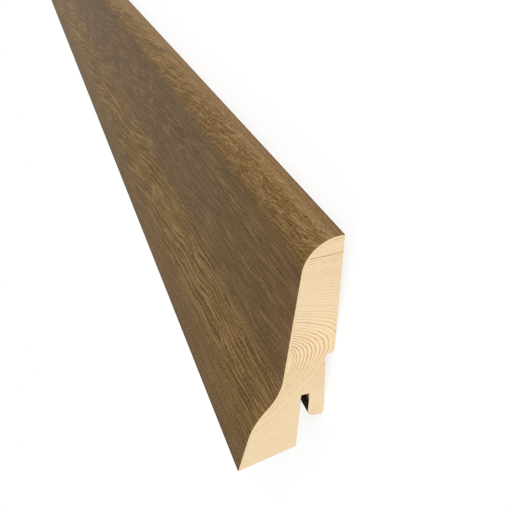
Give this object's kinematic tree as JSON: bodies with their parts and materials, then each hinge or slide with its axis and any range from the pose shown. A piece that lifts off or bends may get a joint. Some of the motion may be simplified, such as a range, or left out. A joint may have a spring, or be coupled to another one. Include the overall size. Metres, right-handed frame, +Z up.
{
  "type": "skirting board length",
  "caption": "Long moulded skirting board: S-shaped brown oak veneer face, rounded top, rebated softwood back and a groove for wall clips.",
  "frame": {"origin": "on the floor, under the middle of the board's box", "axes": "+X along the board, +Y towards its top edge as it stands at a wall, +Z up, out of the veneered face: the board lies on its back"},
  "size_m": [2.5, 0.0616, 0.02],
  "materials": {
    "softwood": "planed and moulded softwood, uncoated",
    "brown_oak": "brown oak veneer, satin lacquer"
  },
  "bodies": {
    "root": {"softwood_core": "softwood", "oak_veneer": "brown_oak"}
  },
  "joints": []
}
